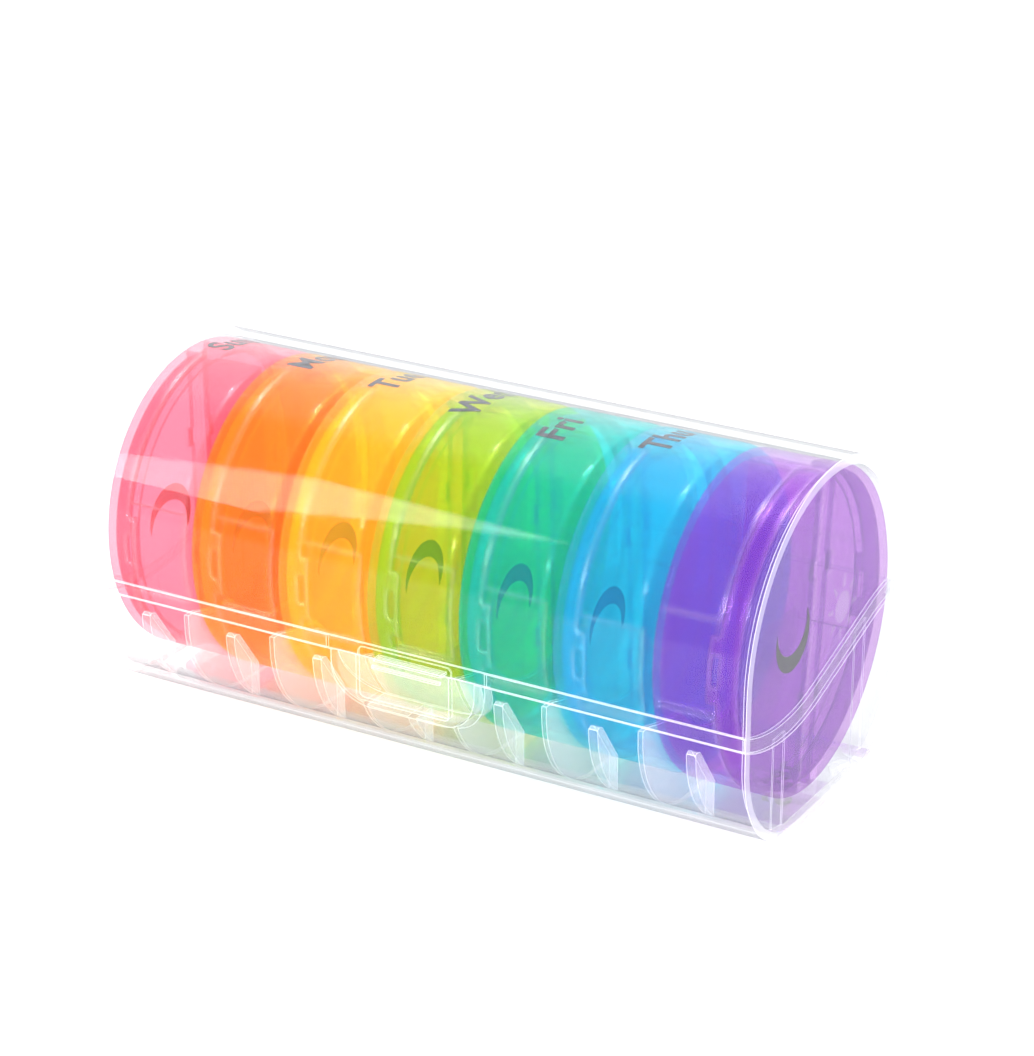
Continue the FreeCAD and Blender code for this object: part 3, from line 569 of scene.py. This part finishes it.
def crescent_outline(centre, steps=28):
    """The outer circle's long way round, then back along the inner one, turned by the moon's tilt."""
    reach = (MOON_OFFSET ** 2 + MOON_OUTER ** 2 - MOON_INNER ** 2) / (2 * MOON_OFFSET)
    outer_half = math.acos(reach / MOON_OUTER)
    inner_half = math.acos((reach - MOON_OFFSET) / MOON_INNER)
    full_turn = 2 * math.pi
    points = arc(0, MOON_OUTER, outer_half, full_turn - outer_half, steps)
    points += arc(MOON_OFFSET, MOON_INNER, -inner_half, inner_half - full_turn, steps)[1:-1]
    turn = Matrix.Rotation(MOON_TILT, 2)
    return [Vector(centre) + turn @ Vector(point) for point in points]


def sun_outlines(centre, rays=8, steps=40):
    """A disc, and slightly tapered rays round it."""
    disc = arc(0, SUN_DISC, 0, 2 * math.pi, steps)[:-1]
    outlines = [[Vector(centre) + Vector(point) for point in disc]]
    root, tip = RAY_HALF_WIDTH, RAY_HALF_WIDTH / 2
    corners = ((RAY_START, -root), (RAY_END, -tip), (RAY_END, tip), (RAY_START, root))
    for index in range(rays):
        turn = Matrix.Rotation(2 * math.pi * index / rays, 2)
        outlines.append([Vector(centre) + turn @ Vector(corner) for corner in corners])
    return outlines


def flat_print(name, outlines, axes):
    """Thin ink on the lids' face, from outlines in the pod's own y and z."""
    shape = bmesh.new()
    for outline in outlines:
        lower = [shape.verts.new(axes @ Vector((-PRINT_LIFT, y, z))) for y, z in outline]
        upper = [shape.verts.new(axes @ Vector((-PRINT_LIFT - PRINT_THICKNESS, y, z))) for y, z in outline]
        shape.faces.new(lower)
        shape.faces.new(list(reversed(upper)))
        for index in range(len(outline)):
            after = (index + 1) % len(outline)
            shape.faces.new((lower[index], upper[index], upper[after], lower[after]))
    bmesh.ops.triangulate(shape, faces=shape.faces[:])
    bmesh.ops.recalc_face_normals(shape, faces=shape.faces[:])
    mesh = bpy.data.meshes.new(name)
    shape.to_mesh(mesh)
    shape.free()
    return mesh


def make_moon(day, material):
    outline = crescent_outline((-SYMBOL_SIDE, -SYMBOL_DROP))
    mesh = flat_print(f"moon_{day}", [outline], pod_frame(day))
    add_print(f"pod_{day}_moon", mesh, f"pod_{day}_pm_lid", material)


def make_sun(day, material):
    outlines = sun_outlines((SYMBOL_SIDE, -SYMBOL_DROP))
    mesh = flat_print(f"sun_{day}", outlines, pod_frame(day))
    add_print(f"pod_{day}_sun", mesh, f"pod_{day}_am_lid", material)


# ---- studio ----

def make_floor():
    """White paper that shines a little, just under the object."""
    mesh = bpy.data.meshes.new("floor")
    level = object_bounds()[0][2] - FLOOR_GAP
    corners = ((-1, -1), (1, -1), (1, 1), (-1, 1))
    mesh.from_pydata([(x * FLOOR_HALF, y * FLOOR_HALF, level) for x, y in corners], [], [(0, 1, 2, 3)])
    material, nodes = new_material("studio_paper")[:2]
    shader = nodes["Principled BSDF"]
    shader.inputs["Base Color"].default_value = (0.25, 0.25, 0.25, 1)
    shader.inputs["Roughness"].default_value = 0.8
    shader.inputs["Specular IOR Level"].default_value = 0.1
    shader.inputs["Emission Color"].default_value = (*WHITE, 1)
    shader.inputs["Emission Strength"].default_value = FLOOR_LIGHT
    mesh.materials.append(material)
    floor = add_object("floor", mesh)


def make_world():
    """White light from all round, brighter from behind the object."""
    world = bpy.data.worlds.new("studio")
    bpy.context.scene.world = world
    world.use_nodes = True
    nodes = world.node_tree.nodes
    links = world.node_tree.links
    background = nodes["Background"]
    background.inputs["Color"].default_value = (*WHITE, 1)
    direction = nodes.new("ShaderNodeTexCoord").outputs["Generated"]
    backward = split_axes(nodes, links, direction)[1]
    level = spread(nodes, links, backward, WORLD_FRONT, WORLD_BACK, start=-WORLD_BLEND, end=WORLD_BLEND)
    level.node.interpolation_type = "SMOOTHSTEP"
    links.new(level, background.inputs["Strength"])


def softbox(name, direction, distance, width, height, radiance, across=(1, 0, 0)):
    """An area light that faces the studio's middle, its width as near to across as it can be."""
    light = bpy.data.lights.new(name, "AREA")
    light.shape = "RECTANGLE"
    light.size = width
    light.size_y = height
    light.energy = radiance * math.pi * width * height
    lamp = add_object(name, light)
    direction = Vector(direction).normalized()
    upright = direction.cross(Vector(across)).normalized()
    lamp.matrix_world = Matrix((upright.cross(direction), upright, direction)).transposed().to_4x4()
    lamp.location = STUDIO_MIDDLE + direction * distance
    return lamp


def make_lights():
    """A window's reflection, streaks along the lid's shoulders, and a fill that no gloss shows."""
    softbox("window", (-0.509, -0.630, 0.447), distance=0.925, width=0.14, height=0.40,
            radiance=8.0, across=(0.80, -0.59, -0.06))
    softbox("edge_high", (0.25, 0.20, 0.94), distance=0.9, width=0.65, height=0.09,
            radiance=44.0, across=(0.75, 0.15, -0.24))
    softbox("edge_low", (0.36, -0.80, 0.43), distance=0.9, width=0.70, height=0.09,
            radiance=30.0, across=(0.82, 0.28, -0.14))
    fill = softbox("fill", (-0.3, -0.85, 0.45), distance=1.5, width=1.6, height=1.2, radiance=10.5)
    fill.visible_glossy = False


def make_camera():
    level = math.cos(CAMERA_ELEVATION)
    back = Vector((level * math.sin(CAMERA_AZIMUTH), -level * math.cos(CAMERA_AZIMUTH),
                   math.sin(CAMERA_ELEVATION)))
    lens = bpy.data.cameras.new("camera")
    lens.lens = CAMERA_LENS
    lens.sensor_width = CAMERA_SENSOR
    lens.sensor_fit = "AUTO"
    camera = add_object("camera", lens)
    camera.location = CAMERA_TARGET + back * CAMERA_DISTANCE
    camera.rotation_euler = (camera.location - CAMERA_AIM).to_track_quat("Z", "Y").to_euler()
    bpy.context.scene.camera = camera


def set_light_paths():
    """Plain colours, and enough bounces for the many clear walls that a ray crosses."""
    scene = bpy.context.scene
    scene.view_settings.view_transform = "Standard"
    scene.cycles.max_bounces = 32
    scene.cycles.glossy_bounces = 32
    scene.cycles.transmission_bounces = 32
    scene.cycles.transparent_max_bounces = 96


# ---- build ----

clear = clear_plastic("clear_case")
for name in ("case_base", "case_lid"):
    paint(name, clear)
dark_ink = ink("dark_ink", (0.012, 0.014, 0.022), (0.030, 0.032, 0.045))
pale_ink = faint_ink("pale_ink", (0.80, 0.80, 0.80), (0.90, 0.90, 0.90))
for day, pod in PODS.items():
    plastic = tinted_plastic(pod.slot, pod.tint, pod.glow)
    for suffix in ("cup", "am_lid", "pm_lid"):
        paint(f"pod_{day}_{suffix}", plastic)
    make_word(day, dark_ink)
    make_moon(day, dark_ink)
    make_sun(day, pale_ink)

make_floor()
make_world()
make_lights()
make_camera()
set_light_paths()
